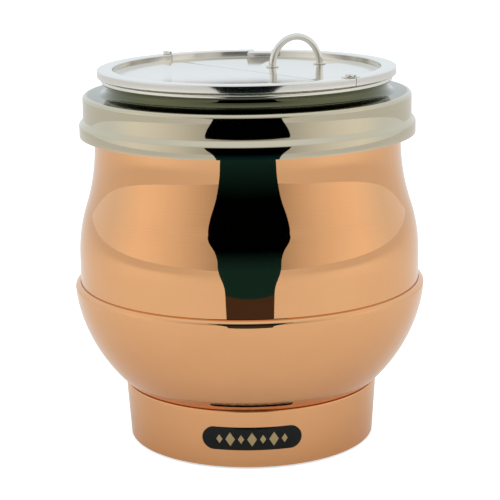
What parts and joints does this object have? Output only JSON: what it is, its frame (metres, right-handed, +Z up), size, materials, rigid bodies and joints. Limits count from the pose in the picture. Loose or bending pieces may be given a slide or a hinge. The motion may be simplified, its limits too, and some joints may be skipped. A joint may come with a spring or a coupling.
{
  "type": "soup kettle",
  "caption": "Countertop wet-well soup kettle: bellied copper body on a skirt, steel collar, lift-out pot and a half-hinged lid with ladle notch and loop handle.",
  "frame": {"origin": "centre of the footprint, on the surface the kettle stands on", "axes": "+Z up; the name badge faces -Y; +X to the right when facing the badge"},
  "size_m": [0.35, 0.35, 0.3993],
  "materials": {
    "polished_copper": "mirror-polished lacquered copper",
    "polished_stainless": "mirror-polished stainless steel",
    "plain_steel": "plain stainless sheet and zinc-plated fasteners",
    "aluminium": "plain rolled aluminium",
    "black_enamel": "gloss black badge",
    "black_plastic": "moulded black",
    "white_plastic": "moulded off-white",
    "rubber": "moulded rubber",
    "mineral_wool": "fibrous blanket",
    "brass": "plain brass",
    "amber_lens": "clear amber lens",
    "brown_sleeve": "wire sleeve",
    "blue_sleeve": "wire sleeve"
  },
  "bodies": {
    "base": {"upper_shell": "polished_copper", "lower_bowl": "polished_copper", "base_skirt": "polished_copper", "water_vessel": "plain_steel", "base_plate": "plain_steel", "foot_screw_1": "plain_steel", "foot_screw_2": "plain_steel", "foot_screw_3": "plain_steel", "foot_screw_4": "plain_steel", "clamp_plate": "plain_steel", "heating_element": "plain_steel", "centre_stud": "plain_steel", "thermostat_bracket": "plain_steel", "element_plate": "aluminium", "shield_spacer": "aluminium", "bowl_spacer": "aluminium", "heat_shield": "aluminium", "dial_plate": "aluminium", "name_badge": "black_enamel", "thermostat_body": "black_plastic", "cable_gland": "black_plastic", "gland_nut": "black_plastic", "thermal_cut_out": "black_plastic", "lamp_body": "white_plastic", "terminal_block": "white_plastic", "foot_1": "rubber", "foot_2": "rubber", "foot_3": "rubber", "foot_4": "rubber", "insulation_band": "mineral_wool", "insulation_pad": "mineral_wool", "element_nut": "brass", "bowl_nut": "brass", "base_nut": "brass", "thermostat_bulb": "brass", "capillary_tube": "brass", "earth_screw": "brass", "lamp_lens": "amber_lens", "live_wire": "brown_sleeve", "element_wire": "brown_sleeve", "neutral_wire": "blue_sleeve"},
    "collar_ring": {"collar": "polished_stainless"},
    "pot": {"soup_pot": "polished_stainless"},
    "lid": {"lid_fixed_half": "polished_stainless", "hinge_leaf_fixed_left": "polished_stainless", "hinge_leaf_fixed_right": "polished_stainless", "hinge_pin_left": "plain_steel", "hinge_pin_right": "plain_steel"},
    "flap": {"lid_flap": "polished_stainless", "lid_handle": "polished_stainless", "handle_washer_left": "polished_stainless", "handle_washer_right": "polished_stainless", "handle_nut_left": "polished_stainless", "handle_nut_right": "polished_stainless", "hinge_leaf_flap_left": "polished_stainless", "hinge_leaf_flap_right": "polished_stainless"},
    "knob": {"control_knob": "black_plastic", "thermostat_shaft": "plain_steel"}
  },
  "joints": [
    {"name": "collar_lift", "type": "slide", "parent": "base", "child": "collar_ring", "axis": [0, 0, 1], "range_m": [0, 0.12]},
    {"name": "pot_lift", "type": "slide", "parent": "collar_ring", "child": "pot", "axis": [0, 0, 1], "range_m": [0, 0.25]},
    {"name": "lid_lift", "type": "slide", "parent": "pot", "child": "lid", "axis": [0, 0, 1], "range_m": [0, 0.15]},
    {"name": "flap_hinge", "type": "hinge", "parent": "lid", "child": "flap", "pos_m": [0.00659, 0.00553, 0.3747], "axis": [0.6428, -0.766, 0], "range_deg": [0, 155]},
    {"name": "knob_turn", "type": "hinge", "parent": "base", "child": "knob", "pos_m": [0.07456, 0.10649, 0.031], "axis": [-0.5736, -0.8192, 0], "range_deg": [0, 270]}
  ]
}
